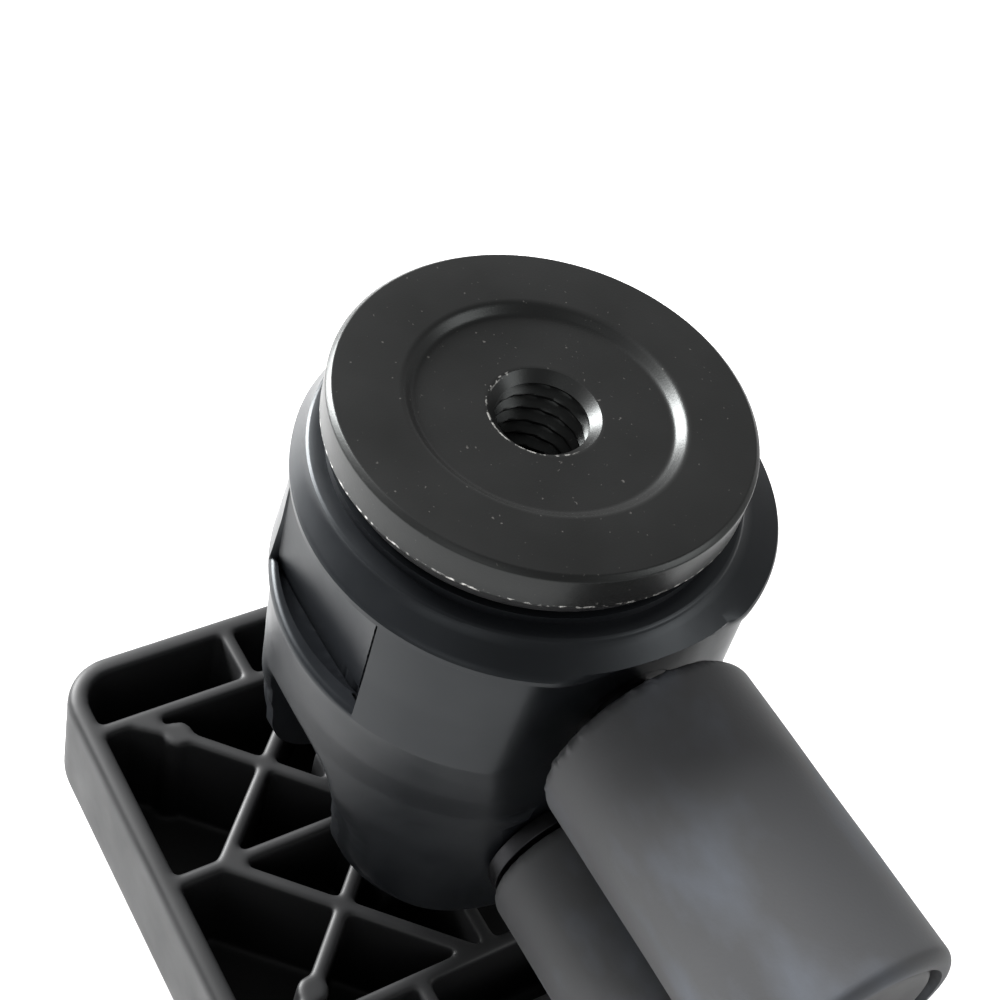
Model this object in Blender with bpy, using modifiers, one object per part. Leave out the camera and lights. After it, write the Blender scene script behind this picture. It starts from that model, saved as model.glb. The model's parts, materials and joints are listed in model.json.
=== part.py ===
"""Two-way pan and tilt head, standing on its camera platform with the base socket up.

Metres, +Z up. The origin is the middle of the camera platform's face, where the head
stands. +X runs along the tilt shaft towards the two lock knobs, and -Y is the front.
Heights below are from a datum 10 mm under the platform's ribs. The platform reaches below
it, so the finished head is lifted by LIFT at the end to stand on z = 0.
"""
import itertools
import math

import bmesh
import bpy
from mathutils import Matrix, Vector

MM = 0.001
GAP = 0.3 * MM                  # clearance between touching solids

# Base: disc, spindle and socket on the pan axis (Z)
TOTAL_HEIGHT = 69.0 * MM        # platform face to base disc face
DISC_RADIUS = 18.2 * MM
DISC_THICKNESS = 4.0 * MM
DISC_CHAMFER = 0.4 * MM
RECESS_RADIUS = 11.9 * MM
RECESS_FLOOR_RADIUS = 11.0 * MM
RECESS_DEPTH = 0.9 * MM
SOCKET_RADIUS = 4.0 * MM        # 3/8 inch thread, minor diameter
SOCKET_CHAMFER_RADIUS = 4.9 * MM
SOCKET_DEPTH = 10.0 * MM
SPINDLE_RADIUS = 8.0 * MM
SPINDLE_BOTTOM = 44.2 * MM
SHOULDER_RADIUS = 9.7 * MM

# Housing: a turned casting with a fork below
HOUSING_TOP = 63.0 * MM
NECK_RADIUS = 17.2 * MM
LIP_RADIUS = 18.7 * MM
LIP_Z = 62.1 * MM
FLANGE_RADIUS = 19.9 * MM
FLANGE_Z = 59.9 * MM
FLANGE_BOTTOM = 59.3 * MM
FLANGE_FLAT_X = 20.2 * MM
BODY_FLAT_X = 18.7 * MM
COLLAR_Z = 46.2 * MM
FORK_TOP_RADIUS = 19.6 * MM
FORK_LOW_RADIUS = 17.9 * MM
FORK_BOTTOM = 14.4 * MM
SLOT_HALF_WIDTH = 6.8 * MM
SLOT_ARCH_Z = 30.5 * MM
DISC_SEAT_X = 6.9 * MM          # flat seats for the friction discs, just inside the ears
EAR_CORNER_RADIUS = 9.1 * MM
EAR_CORNER_Y = 7.3 * MM
POCKET_HALF_WIDTH = 8.1 * MM
POCKET_FACE_Y = -17.9 * MM
POCKET_TOP = 59.0 * MM
POCKET_BOTTOM = 47.6 * MM
BORE_BOTTOM = 43.9 * MM

# Locks: each knob turns on its own axis along X
PAN_LOCK_Y = 1.9 * MM
PAN_LOCK_Z = 49.3 * MM
PAN_KNOB_RADIUS = 10.0 * MM
PAN_KNOB_X = 21.1 * MM
PAN_KNOB_LENGTH = 30.0 * MM
TILT_Z = 28.5 * MM
TILT_KNOB_RADIUS = 7.6 * MM
TILT_KNOB_X = 20.3 * MM
TILT_KNOB_LENGTH = 21.0 * MM
STUD_RADIUS = 3.0 * MM          # M6
SHOE_END = 11.0 * MM
LOCK_TRAVEL = 1.5 * MM          # both knobs move out as they loosen
BUSH_START = SHOE_END + LOCK_TRAVEL + 0.4 * MM
SPOTFACE_X = 18.2 * MM

# Camera platform: a deep ribbed moulding with a rounded lower edge
PLATFORM_HALF_X = 27.8 * MM
PLATFORM_HALF_Y = 29.8 * MM
PLATFORM_CORNER = 5.7 * MM
EDGE_ROUND = 5.6 * MM           # lower outer edge
EDGE_STEPS = 5
LIFT = 8.3 * MM
RIM_TOP = 10.0 * MM
RIM_BOTTOM = -7.8 * MM
WEB_TOP = -4.2 * MM
WEB_BOTTOM = -6.7 * MM
PAD_INSET = 6.2 * MM            # pad recess edge inside the platform's outline
BOSS_FLOOR = 4.0 * MM           # the tongue's foot stands here
WALL = 2.2 * MM
RIB = 1.4 * MM
GUSSET_WIDTH = 2.4 * MM
ROOT = 1.0 * MM                 # overlap of ribs and bosses with what they stand on
RIB_LINE_X = 19.0 * MM
CROSS_RIB_Y = 10.6 * MM
BAY_BACK_Y = -2.9 * MM
BRACE_X = 8.9 * MM              # crossing of the diagonal ribs
BRACE_Y = -13.8 * MM
POST_OFFSET = 6.8 * MM          # moulding post, along each outer diagonal
POST_RADIUS = 1.5 * MM
BOSS_HALF_X = 8.2 * MM
BOSS_HALF_Y = 8.6 * MM

# Tilt tongue
TONGUE_HALF_X = 5.6 * MM
TONGUE_EYE_RADIUS = 5.4 * MM
TONGUE_FOOT_HALF_Y = 7.0 * MM
TONGUE_BOTTOM = BOSS_FLOOR + GAP
TONGUE_SCREW_Y = 3.8 * MM

SCREW_SHANK_HOLE = 2.3 * MM     # the two screws that hold the tongue, sunk from the camera side
SCREW_HEAD_RADIUS = 3.3 * MM
HEAD_TOP = -3.4 * MM
HEAD_LOW = -4.8 * MM
HEAD_BOTTOM = -5.6 * MM

# Camera screw: captive, drawn in at rest, turned by a wheel among the ribs
SCREW_Y = 15.5 * MM
SCREW_RADIUS = 3.1 * MM         # 1/4 inch thread
SCREW_TIP_Z = -8.1 * MM
SCREW_TIP_CHAMFER = 0.5 * MM
SCREW_HOLE_GAP = 0.35 * MM
SCREW_TRAVEL = 4.0 * MM         # down until the washer is on the recess floor
HUB_RADIUS = 2.2 * MM
WHEEL_RADIUS = 8.0 * MM
WHEEL_BOTTOM = 8.0 * MM
WHEEL_TOP = 9.8 * MM
WHEEL_RECESS_RADIUS = 8.8 * MM
SCREW_BOSS_RADIUS = 7.0 * MM
WHEEL_RECESS_FLOOR = 3.0 * MM      # top of the screw boss
WASHER_RADIUS = 6.0 * MM

ROUND = 48                      # segments of a large round part
SMALL_ROUND = 24

TURN_Z_TO_X = Matrix.Rotation(math.radians(90), 4, 'Y')


def clear_scene():
    for obj in list(bpy.data.objects):
        bpy.data.objects.remove(obj, do_unlink=True)


def collection(name):
    made = bpy.data.collections.new(name)
    bpy.context.scene.collection.children.link(made)
    return made


clear_scene()
PARTS = collection("pan_tilt_head")
CUTTERS = collection("cutters")


def finish_material(name, color, roughness, metallic=0.0):
    made = bpy.data.materials.new(name)
    made.use_nodes = True
    shader = made.node_tree.nodes["Principled BSDF"]
    shader.inputs["Base Color"].default_value = (*color, 1.0)
    shader.inputs["Roughness"].default_value = roughness
    shader.inputs["Metallic"].default_value = metallic
    return made


ANODISED = finish_material("black_anodised_aluminium", (0.020, 0.020, 0.021), 0.38, 0.6)
CAST = finish_material("black_cast_housing", (0.016, 0.017, 0.020), 0.42)
MOULDED = finish_material("black_moulded_plastic", (0.014, 0.015, 0.017), 0.45)
RUBBER = finish_material("black_rubber", (0.030, 0.031, 0.033), 0.75)
ACETAL = finish_material("black_acetal", (0.010, 0.010, 0.011), 0.50)
STEEL = finish_material("zinc_plated_steel", (0.55, 0.56, 0.58), 0.35, 1.0)
OXIDE = finish_material("black_oxide_steel", (0.030, 0.030, 0.032), 0.42, 1.0)
BRASS = finish_material("brass", (0.60, 0.44, 0.18), 0.35, 1.0)


def add_object(name, mesh, material=None):
    made = bpy.data.objects.new(name, mesh)
    if material:
        mesh.materials.append(material)
        PARTS.objects.link(made)
    else:
        CUTTERS.objects.link(made)
        made.hide_render = True
        made.display_type = 'WIRE'
    return made


def turned(name, profile, material=None, segments=ROUND, place=Matrix()):
    """A profile of (radius, z) points, down the outer side, turned about local Z."""
    mesh = bpy.data.meshes.new(name)
    closed = profile[0][0] > 0
    count = len(profile)
    edges = [(i, i + 1) for i in range(count - 1)]
    if closed:
        edges.append((count - 1, 0))
    mesh.from_pydata([(r, 0, z) for r, z in profile], edges, [])
    made = add_object(name, mesh, material)
    made.matrix_world = place
    screw = made.modifiers.new("turn", 'SCREW')
    screw.steps = segments
    screw.render_steps = segments
    screw.use_merge_vertices = True
    screw.merge_threshold = 0.00001
    screw.use_smooth_shade = True
    return made


def cylinder(name, radius, low, high, material=None, segments=SMALL_ROUND, place=Matrix()):
    profile = [(0, high), (radius, high), (radius, low), (0, low)]
    return turned(name, profile, material, segments, place)


def ring(name, inner, outer, low, high, material=None, segments=SMALL_ROUND, place=Matrix()):
    profile = [(inner, high), (outer, high), (outer, low), (inner, low)]
    return turned(name, profile, material, segments, place)


def box(name, low, high, material=None, place=Matrix()):
    size = Vector(high) - Vector(low)
    middle = (Vector(high) + Vector(low)) / 2
    mesh = bpy.data.meshes.new(name)
    shape = bmesh.new()
    scale = Matrix.Diagonal((*size, 1))
    bmesh.ops.create_cube(shape, size=1, matrix=Matrix.Translation(middle) @ scale)
    shape.to_mesh(mesh)
    shape.free()
    made = add_object(name, mesh, material)
    made.matrix_world = place
    return made


def outline_solid(name, points, low, high, material=None, place=Matrix()):
    """A flat outline in local XY, filled, and thickened from low to high."""
    curve = bpy.data.curves.new(name, 'CURVE')
    curve.dimensions = '2D'
    curve.fill_mode = 'BOTH'
    curve.extrude = (high - low) / 2
    spline = curve.splines.new('POLY')
    spline.points.add(len(points) - 1)
    for point, (x, y) in zip(spline.points, points):
        point.co = (x, y, 0, 1)
    spline.use_cyclic_u = True
    drawn = bpy.data.objects.new(name + "_outline", curve)
    CUTTERS.objects.link(drawn)
    drawn.matrix_world = place @ Matrix.Translation((0, 0, (high + low) / 2))
    graph = bpy.context.evaluated_depsgraph_get()
    mesh = bpy.data.meshes.new_from_object(drawn.evaluated_get(graph))
    shape = bmesh.new()
    shape.from_mesh(mesh)
    bmesh.ops.remove_doubles(shape, verts=shape.verts, dist=0.000001)
    bmesh.ops.recalc_face_normals(shape, faces=shape.faces)
    shape.to_mesh(mesh)
    shape.free()
    mesh.materials.clear()
    made = add_object(name, mesh, material)
    made.matrix_world = drawn.matrix_world
    bpy.data.objects.remove(drawn)
    return made


def loft(name, rings, material=None):
    """Closed skin through rings of equal point count, listed from the top down."""
    mesh = bpy.data.meshes.new(name)
    shape = bmesh.new()
    rows = [[shape.verts.new(point) for point in row] for row in rings]
    count = len(rows[0])
    for upper, lower in zip(rows, rows[1:]):
        for i in range(count):
            j = (i + 1) % count
            shape.faces.new((upper[i], lower[i], lower[j], upper[j]))
    shape.faces.new(rows[0])
    shape.faces.new(list(reversed(rows[-1])))
    bmesh.ops.recalc_face_normals(shape, faces=shape.faces)
    shape.to_mesh(mesh)
    shape.free()
    return add_object(name, mesh, material)


def boolean(target, tool, operation):
    step = target.modifiers.new(operation.lower(), 'BOOLEAN')
    step.operation = operation
    step.object = tool
    step.solver = 'EXACT'


def cut(target, tool):
    boolean(target, tool, 'DIFFERENCE')


def join(target, tool):
    boolean(target, tool, 'UNION')


def arc(center_x, center_y, radius, start, end, steps):
    points = []
    for i in range(steps + 1):
        angle = math.radians(start + (end - start) * i / steps)
        points.append((center_x + radius * math.cos(angle), center_y + radius * math.sin(angle)))
    return points


def rounded_rectangle(half_x, half_y, corner, steps=4):
    points = []
    for sign_x, sign_y, start in ((1, 1, 0), (-1, 1, 90), (-1, -1, 180), (1, -1, 270)):
        middle_x = sign_x * (half_x - corner)
        middle_y = sign_y * (half_y - corner)
        points += arc(middle_x, middle_y, corner, start, start + 90, steps)
    return points


def along_x(y, z):
    """Local Z along world X, through (y, z)."""
    return Matrix.Translation((0, y, z)) @ TURN_Z_TO_X


PAN_LOCK = along_x(PAN_LOCK_Y, PAN_LOCK_Z)
TILT_AXIS = along_x(0, TILT_Z)
OFF_SEAM = Matrix.Rotation(math.radians(4), 4, 'Z')     # keeps a cutter's seam off its part's


# ---------------------------------------------------------------- base

def make_base_disc():
    top = TOTAL_HEIGHT
    under = top - DISC_THICKNESS
    floor = top - RECESS_DEPTH
    shoulder = HOUSING_TOP + GAP
    chamfer_depth = SOCKET_CHAMFER_RADIUS - SOCKET_RADIUS
    profile = [
        (0, floor - SOCKET_DEPTH),
        (SOCKET_RADIUS, floor - SOCKET_DEPTH),
        (SOCKET_RADIUS, floor - chamfer_depth),
        (SOCKET_CHAMFER_RADIUS, floor),
        (RECESS_FLOOR_RADIUS, floor),
        (RECESS_RADIUS, top),
        (DISC_RADIUS - DISC_CHAMFER, top),
        (DISC_RADIUS, top - DISC_CHAMFER),
        (DISC_RADIUS, under + DISC_CHAMFER),
        (DISC_RADIUS - DISC_CHAMFER, under),
        (SHOULDER_RADIUS, under),
        (SHOULDER_RADIUS, shoulder),
        (SPINDLE_RADIUS, shoulder),
        (SPINDLE_RADIUS, SPINDLE_BOTTOM),
        (2.8 * MM, SPINDLE_BOTTOM),
        (2.8 * MM, 54 * MM),
        (0, 54 * MM),
    ]
    return turned("base_disc", profile, ANODISED, 64)


def make_base_fittings():
    under = TOTAL_HEIGHT - DISC_THICKNESS
    ring("pan_friction_ring", SHOULDER_RADIUS + GAP, NECK_RADIUS - 0.2 * MM,
         HOUSING_TOP + GAP, under - GAP, ACETAL, ROUND)
    ring("pan_retaining_washer", 2.8 * MM, 4.8 * MM, 40.4 * MM, 41.1 * MM, STEEL)
    screw_profile = [
        (0, 53.5 * MM), (2.5 * MM, 53.5 * MM), (2.5 * MM, 40.1 * MM), (4.2 * MM, 40.1 * MM),
        (4.2 * MM, 36.9 * MM), (0, 36.9 * MM),
    ]
    screw = turned("pan_retaining_screw", screw_profile, STEEL, SMALL_ROUND)
    hexagon = cylinder("pan_screw_hexagon", 2.3 * MM, 36.0 * MM, 38.6 * MM, None, 6)
    cut(screw, hexagon)


# ---------------------------------------------------------------- housing

def housing_ring(radius, z, flat_x=None, bulge=0.0, segments=72):
    """One level of the housing: a circle with a lock boss bulging to +X and a flat on it."""
    centers = ((0.0, 0.0), (1.5 * MM * bulge, 2.3 * MM * bulge), (1.4 * MM * bulge, -0.7 * MM * bulge))
    points = []
    for i in range(segments):
        angle = 2 * math.pi * i / segments
        x, y = math.cos(angle), math.sin(angle)
        reach = 0.0
        for cx, cy in centers:
            along = cx * x + cy * y
            across = cx * y - cy * x
            reach = max(reach, along + math.sqrt(radius ** 2 - across ** 2))
        if flat_x and x * reach > flat_x:
            reach = flat_x / x
        points.append((reach * x, reach * y, z))
    return points


def ear_outline():
    """Side view of the fork ears in the (y, z) plane: rounded lower corners."""
    high = HOUSING_TOP + 10 * MM
    wide = 30 * MM
    corner_z = FORK_BOTTOM + EAR_CORNER_RADIUS
    side_y = EAR_CORNER_Y + EAR_CORNER_RADIUS
    points = [(wide, high), (-wide, high), (-wide, SLOT_ARCH_Z + 4 * MM), (-side_y, corner_z + 2 * MM)]
    points += arc(-EAR_CORNER_Y, corner_z, EAR_CORNER_RADIUS, 180, 270, 6)
    points += arc(EAR_CORNER_Y, corner_z, EAR_CORNER_RADIUS, 270, 360, 6)
    points += [(side_y, corner_z + 2 * MM), (wide, SLOT_ARCH_Z + 4 * MM)]
    return points


def slot_outline():
    """Cross section of the fork slot in the (x, z) plane: round roof, open below."""
    points = arc(0, SLOT_ARCH_Z, SLOT_HALF_WIDTH, 0, 180, 16)
    return [(SLOT_HALF_WIDTH, 0), *points, (-SLOT_HALF_WIDTH, 0)]


def make_housing():
    rings = [
        housing_ring(NECK_RADIUS, HOUSING_TOP),
        housing_ring(NECK_RADIUS, LIP_Z),
        housing_ring(LIP_RADIUS, LIP_Z - 0.1 * MM),
        housing_ring(FLANGE_RADIUS, FLANGE_Z, FLANGE_FLAT_X, 1.0),
        housing_ring(FLANGE_RADIUS, FLANGE_BOTTOM, FLANGE_FLAT_X, 1.0),
        housing_ring(FLANGE_RADIUS - 0.7 * MM, FLANGE_BOTTOM - 0.1 * MM, BODY_FLAT_X, 1.0),
        housing_ring(FLANGE_RADIUS + 0.2 * MM, COLLAR_Z, BODY_FLAT_X, 0.8),
        housing_ring(FLANGE_RADIUS - 0.2 * MM, COLLAR_Z - 0.3 * MM, BODY_FLAT_X, 0.8),
        housing_ring(FORK_TOP_RADIUS, 36 * MM, BODY_FLAT_X, 0.2),
        housing_ring(FORK_TOP_RADIUS - 0.3 * MM, SLOT_ARCH_Z),
        housing_ring(FORK_LOW_RADIUS + 0.5 * MM, 20.8 * MM),
        housing_ring(FORK_LOW_RADIUS, FORK_BOTTOM - 0.5 * MM),
    ]
    housing = loft("fork_housing", rings, CAST)
    to_yz = Matrix(((0, 0, 1, 0), (1, 0, 0, 0), (0, 1, 0, 0), (0, 0, 0, 1)))
    to_xz = Matrix(((1, 0, 0, 0), (0, 0, -1, 0), (0, 1, 0, 0), (0, 0, 0, 1)))
    ears = outline_solid("ear_shape", ear_outline(), -40 * MM, 40 * MM, None, to_yz)
    boolean(housing, ears, 'INTERSECT')
    cut(housing, outline_solid("fork_slot", slot_outline(), -40 * MM, 40 * MM, None, to_xz))
    pan_bore = [
        (0, 70 * MM), (SPINDLE_RADIUS + GAP, 70 * MM), (SPINDLE_RADIUS + GAP, BORE_BOTTOM),
        (2.8 * MM, BORE_BOTTOM), (2.8 * MM, 41.4 * MM), (5.2 * MM, 41.4 * MM), (5.2 * MM, 32 * MM),
        (0, 32 * MM),
    ]
    cut(housing, turned("pan_bore", pan_bore, None, ROUND, OFF_SEAM))
    cut(housing, box("label_pocket", (-POCKET_HALF_WIDTH, -30 * MM, POCKET_BOTTOM),
                     (POCKET_HALF_WIDTH, POCKET_FACE_Y, POCKET_TOP)))
    cut(housing, cylinder("lock_bore", 5.1 * MM, 6 * MM, 30 * MM, None, SMALL_ROUND,
                          PAN_LOCK @ OFF_SEAM))
    hole = STUD_RADIUS + GAP
    tilt_bore = [
        (0, 40 * MM), (8.4 * MM, 40 * MM), (8.4 * MM, SPOTFACE_X), (hole, SPOTFACE_X),
        (hole, DISC_SEAT_X), (5.9 * MM, DISC_SEAT_X), (5.9 * MM, -DISC_SEAT_X), (hole, -DISC_SEAT_X),
        (hole, -14.7 * MM), (5.6 * MM, -14.7 * MM), (5.6 * MM, -40 * MM), (0, -40 * MM),
    ]
    cut(housing, turned("tilt_bore", tilt_bore, None, SMALL_ROUND, TILT_AXIS @ OFF_SEAM))
    return housing


# ---------------------------------------------------------------- locks

def knob(prefix, axis, radius, start, length, bore, bore_depth):
    """A hard core on the axis, a rubber sleeve over it and a cap in the far end."""
    end = start + length
    core_radius = radius - 1.8 * MM
    cap_low = end - 1.8 * MM
    core_start = start + 0.4 * MM
    core_profile = [
        (0, cap_low - GAP), (core_radius, cap_low - GAP), (core_radius, core_start),
        (bore, core_start), (bore, start + bore_depth), (0, start + bore_depth),
    ]
    turned(prefix + "_core", core_profile, MOULDED, 32, axis)
    soft = 1.0 * MM
    grip_profile = [
        (core_radius + GAP, end), (radius - soft, end), (radius - 0.3 * soft, end - 0.3 * soft),
        (radius, end - soft), (radius, start + soft), (radius - 0.3 * soft, start + 0.3 * soft),
        (radius - soft, start), (core_radius + GAP, start),
    ]
    turned(prefix + "_grip", grip_profile, RUBBER, 32, axis)
    cap_profile = [(0, end - 0.3 * MM), (core_radius - 0.5 * MM, end - 0.3 * MM),
                   (core_radius, end - 0.8 * MM), (core_radius, cap_low), (0, cap_low)]
    turned(prefix + "_cap", cap_profile, MOULDED, 32, axis)


def make_pan_lock():
    ring("pan_lock_bush", STUD_RADIUS + GAP, 4.8 * MM, BUSH_START, 18.4 * MM, OXIDE, SMALL_ROUND, PAN_LOCK)
    cylinder("pan_lock_shoe", 4.7 * MM, 8.5 * MM, SHOE_END, BRASS, SMALL_ROUND, PAN_LOCK)
    cylinder("pan_lock_stud", STUD_RADIUS, 11.3 * MM, 36.0 * MM, OXIDE, SMALL_ROUND, PAN_LOCK)
    knob("pan_knob", PAN_LOCK, PAN_KNOB_RADIUS, PAN_KNOB_X, PAN_KNOB_LENGTH,
         STUD_RADIUS + GAP, 15.3 * MM)


def make_tilt_lock():
    head = [
        (0, 33.0 * MM), (STUD_RADIUS, 33.0 * MM), (STUD_RADIUS, -15.0 * MM), (5.2 * MM, -15.0 * MM),
        (5.2 * MM, -18.2 * MM), (4.8 * MM, -18.6 * MM), (0, -18.6 * MM),
    ]
    bolt = turned("tilt_bolt", head, OXIDE, SMALL_ROUND, TILT_AXIS)
    cut(bolt, cylinder("tilt_bolt_hexagon", 2.9 * MM, -20 * MM, -16.6 * MM, None, 6, TILT_AXIS))
    for side, low in (("near", TONGUE_HALF_X + GAP), ("far", -SLOT_HALF_WIDTH + GAP)):
        ring("tilt_friction_disc_" + side, STUD_RADIUS + GAP, 5.2 * MM, low, low + 0.6 * MM,
             ACETAL, SMALL_ROUND, TILT_AXIS)
    ring("tilt_thrust_washer", STUD_RADIUS + GAP, 6.8 * MM, SPOTFACE_X + GAP, TILT_KNOB_X - GAP,
         OXIDE, SMALL_ROUND, TILT_AXIS)
    insert_radius = 4.6 * MM
    ring("tilt_knob_insert", STUD_RADIUS + GAP, insert_radius, TILT_KNOB_X + 0.4 * MM,
         TILT_KNOB_X + 9 * MM, BRASS, SMALL_ROUND, TILT_AXIS)
    knob("tilt_knob", TILT_AXIS, TILT_KNOB_RADIUS, TILT_KNOB_X, TILT_KNOB_LENGTH,
         insert_radius + GAP, 15.0 * MM)


# ---------------------------------------------------------------- platform

def tongue_outline():
    """Side view of the tongue in the (y, z) plane: a round eye on a slightly tapered leg."""
    foot = TONGUE_FOOT_HALF_Y
    points = [(-foot, TONGUE_BOTTOM), (foot, TONGUE_BOTTOM), (foot, RIM_TOP - 1 * MM)]
    return points + arc(0, TILT_Z, TONGUE_EYE_RADIUS, -5, 185, 14) + [(-foot, RIM_TOP - 1 * MM)]


def make_tongue():
    to_yz = Matrix(((0, 0, 1, 0), (1, 0, 0, 0), (0, 1, 0, 0), (0, 0, 0, 1)))
    tongue = outline_solid("tilt_tongue", tongue_outline(), -TONGUE_HALF_X, TONGUE_HALF_X, CAST, to_yz)
    cut(tongue, cylinder("tongue_eye", STUD_RADIUS + GAP, -10 * MM, 10 * MM, None, SMALL_ROUND, TILT_AXIS))
    for y in (-TONGUE_SCREW_Y, TONGUE_SCREW_Y):
        place = Matrix.Translation((0, y, 0))
        cut(tongue, cylinder("tongue_screw_hole", 2.3 * MM, 0, 12 * MM, None, SMALL_ROUND, place))
    return tongue


def make_tongue_screws():
    """Two countersunk screws from the camera side."""
    profile = [
        (0, 11.5 * MM), (2.0 * MM, 11.5 * MM), (2.0 * MM, HEAD_TOP), (SCREW_HEAD_RADIUS, HEAD_LOW),
        (SCREW_HEAD_RADIUS, HEAD_BOTTOM), (0, HEAD_BOTTOM),
    ]
    for name, y in (("front", -TONGUE_SCREW_Y), ("back", TONGUE_SCREW_Y)):
        turned("tongue_screw_" + name, profile, STEEL, 20, Matrix.Translation((0, y, 0)))


OVERRUNS = itertools.count()
OVERRUN_STEP = 0.1 * MM


def past_rim():
    """A height over the rim, new each time, so that no two uprights end in one plane."""
    return RIM_TOP + ROOT + OVERRUN_STEP * next(OVERRUNS)


def rib(name, x0, x1, y0, y1):
    """An upright rib, rooted in the web. One cut levels all of them with the rim."""
    low = (min(x0, x1), min(y0, y1), WEB_TOP - ROOT)
    high = (max(x0, x1), max(y0, y1), past_rim())
    return box(name, low, high)


def slanted_rib(name, start, end, width):
    """An upright rib from start to end, two (x, y) points."""
    along = Vector(end) - Vector(start)
    middle = (Vector(end) + Vector(start)) / 2
    turn = Matrix.Rotation(math.atan2(along.y, along.x), 4, 'Z')
    place = Matrix.Translation((middle.x, middle.y, 0)) @ turn
    half = along.length / 2
    return box(name, (-half, -width / 2, WEB_TOP - ROOT), (half, width / 2, past_rim()), None, place)


def platform_rings():
    """Outlines from the rim down: straight walls, then the rounded lower edge."""
    levels = [(0.0, RIM_TOP + ROOT / 2)]
    for i in range(EDGE_STEPS + 1):
        angle = math.radians(90 * i / EDGE_STEPS)
        inset = EDGE_ROUND * (1 - math.cos(angle))
        levels.append((inset, RIM_BOTTOM + EDGE_ROUND * (1 - math.sin(angle))))
    rings = []
    for inset, z in levels:
        outline = rounded_rectangle(PLATFORM_HALF_X - inset, PLATFORM_HALF_Y - inset,
                                    max(PLATFORM_CORNER - inset, 0.1 * MM))
        rings.append([(x, y, z) for x, y in outline])
    return rings


def make_platform():
    platform = loft("platform_frame", platform_rings(), MOULDED)
    inner_x = PLATFORM_HALF_X - WALL
    inner_y = PLATFORM_HALF_Y - WALL
    inner = rounded_rectangle(inner_x, inner_y, PLATFORM_CORNER - WALL)
    cut(platform, outline_solid("rib_space", inner, WEB_TOP, RIM_TOP + 5 * MM))
    half = RIB / 2
    end_x = inner_x + ROOT
    end_y = inner_y + ROOT
    for side in (-1, 1):
        line = side * RIB_LINE_X
        join(platform, rib("long_rib", line - half, line + half, -end_y, end_y))
        for y in (-CROSS_RIB_Y, CROSS_RIB_Y):
            join(platform, rib("cross_rib", line, side * end_x, y - half, y + half))
    join(platform, rib("middle_rib", -half, half, -end_y, BAY_BACK_Y + half))
    join(platform, rib("back_rib", -RIB_LINE_X, RIB_LINE_X, BAY_BACK_Y, BAY_BACK_Y + RIB))
    join(platform, box("tongue_boss", (-BOSS_HALF_X, -BOSS_HALF_Y, WEB_TOP - ROOT),
                       (BOSS_HALF_X, BOSS_HALF_Y, past_rim())))
    join(platform, cylinder("screw_boss", SCREW_BOSS_RADIUS, WEB_TOP - ROOT, WHEEL_RECESS_FLOOR + ROOT,
                            None, SMALL_ROUND, Matrix.Translation((0, SCREW_Y, 0))))
    reach = RIB_LINE_X - BRACE_X
    for side in (-1, 1):
        for slope in (-1, 1):
            start = (side * (BRACE_X - reach + half), BRACE_Y - slope * (reach - half))
            end = (side * RIB_LINE_X, BRACE_Y + slope * reach)
            join(platform, slanted_rib("brace", start, end, RIB))
        post = (side * (BRACE_X + POST_OFFSET), BRACE_Y - POST_OFFSET)
        corner = (side * (RIB_LINE_X - half), -end_y)
        join(platform, slanted_rib("gusset", post, corner, GUSSET_WIDTH))
        join(platform, cylinder("moulding_post", POST_RADIUS, WEB_TOP - ROOT, past_rim(), None, 12,
                                Matrix.Translation((*post, 0))))
    wide = PLATFORM_HALF_Y + 5 * MM
    cut(platform, box("rim_plane", (-wide, -wide, RIM_TOP), (wide, wide, RIM_TOP + 10 * MM)))
    socket = (TONGUE_HALF_X + GAP, TONGUE_FOOT_HALF_Y + GAP)
    cut(platform, box("tongue_socket", (-socket[0], -socket[1], BOSS_FLOOR), (*socket, RIM_TOP + 5 * MM)))
    pad = rounded_rectangle(PLATFORM_HALF_X - PAD_INSET, PLATFORM_HALF_Y - PAD_INSET, 2 * MM)
    cut(platform, outline_solid("pad_recess", pad, RIM_BOTTOM - 5 * MM, WEB_BOTTOM))
    for y in (-TONGUE_SCREW_Y, TONGUE_SCREW_Y):
        countersink = [
            (0, 8 * MM), (SCREW_SHANK_HOLE, 8 * MM), (SCREW_SHANK_HOLE, HEAD_TOP + GAP),
            (SCREW_HEAD_RADIUS + GAP, HEAD_LOW + GAP), (SCREW_HEAD_RADIUS + GAP, RIM_BOTTOM - 5 * MM),
            (0, RIM_BOTTOM - 5 * MM),
        ]
        cut(platform, turned("countersink", countersink, None, 20, Matrix.Translation((0, y, 0))))
    at_screw = Matrix.Translation((0, SCREW_Y, 0))
    hole = SCREW_RADIUS + SCREW_HOLE_GAP
    screw_bore = [
        (0, 20 * MM), (WHEEL_RECESS_RADIUS, 20 * MM), (WHEEL_RECESS_RADIUS, WHEEL_RECESS_FLOOR),
        (hole, WHEEL_RECESS_FLOOR), (hole, RIM_BOTTOM - 5 * MM), (0, RIM_BOTTOM - 5 * MM),
    ]
    cut(platform, turned("screw_bore", screw_bore, None, SMALL_ROUND, at_screw @ OFF_SEAM))
    return platform


def make_camera_pad():
    inset = PAD_INSET + GAP
    outline = rounded_rectangle(PLATFORM_HALF_X - inset, PLATFORM_HALF_Y - inset, 2 * MM)
    pad = outline_solid("camera_pad", outline, -LIFT, WEB_BOTTOM - GAP, RUBBER)
    at_screw = Matrix.Translation((0, SCREW_Y, 0))
    cut(pad, cylinder("pad_hole", SCREW_RADIUS + 0.9 * MM, -LIFT - 1 * MM, 3 * MM, None, SMALL_ROUND, at_screw))
    return pad


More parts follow.
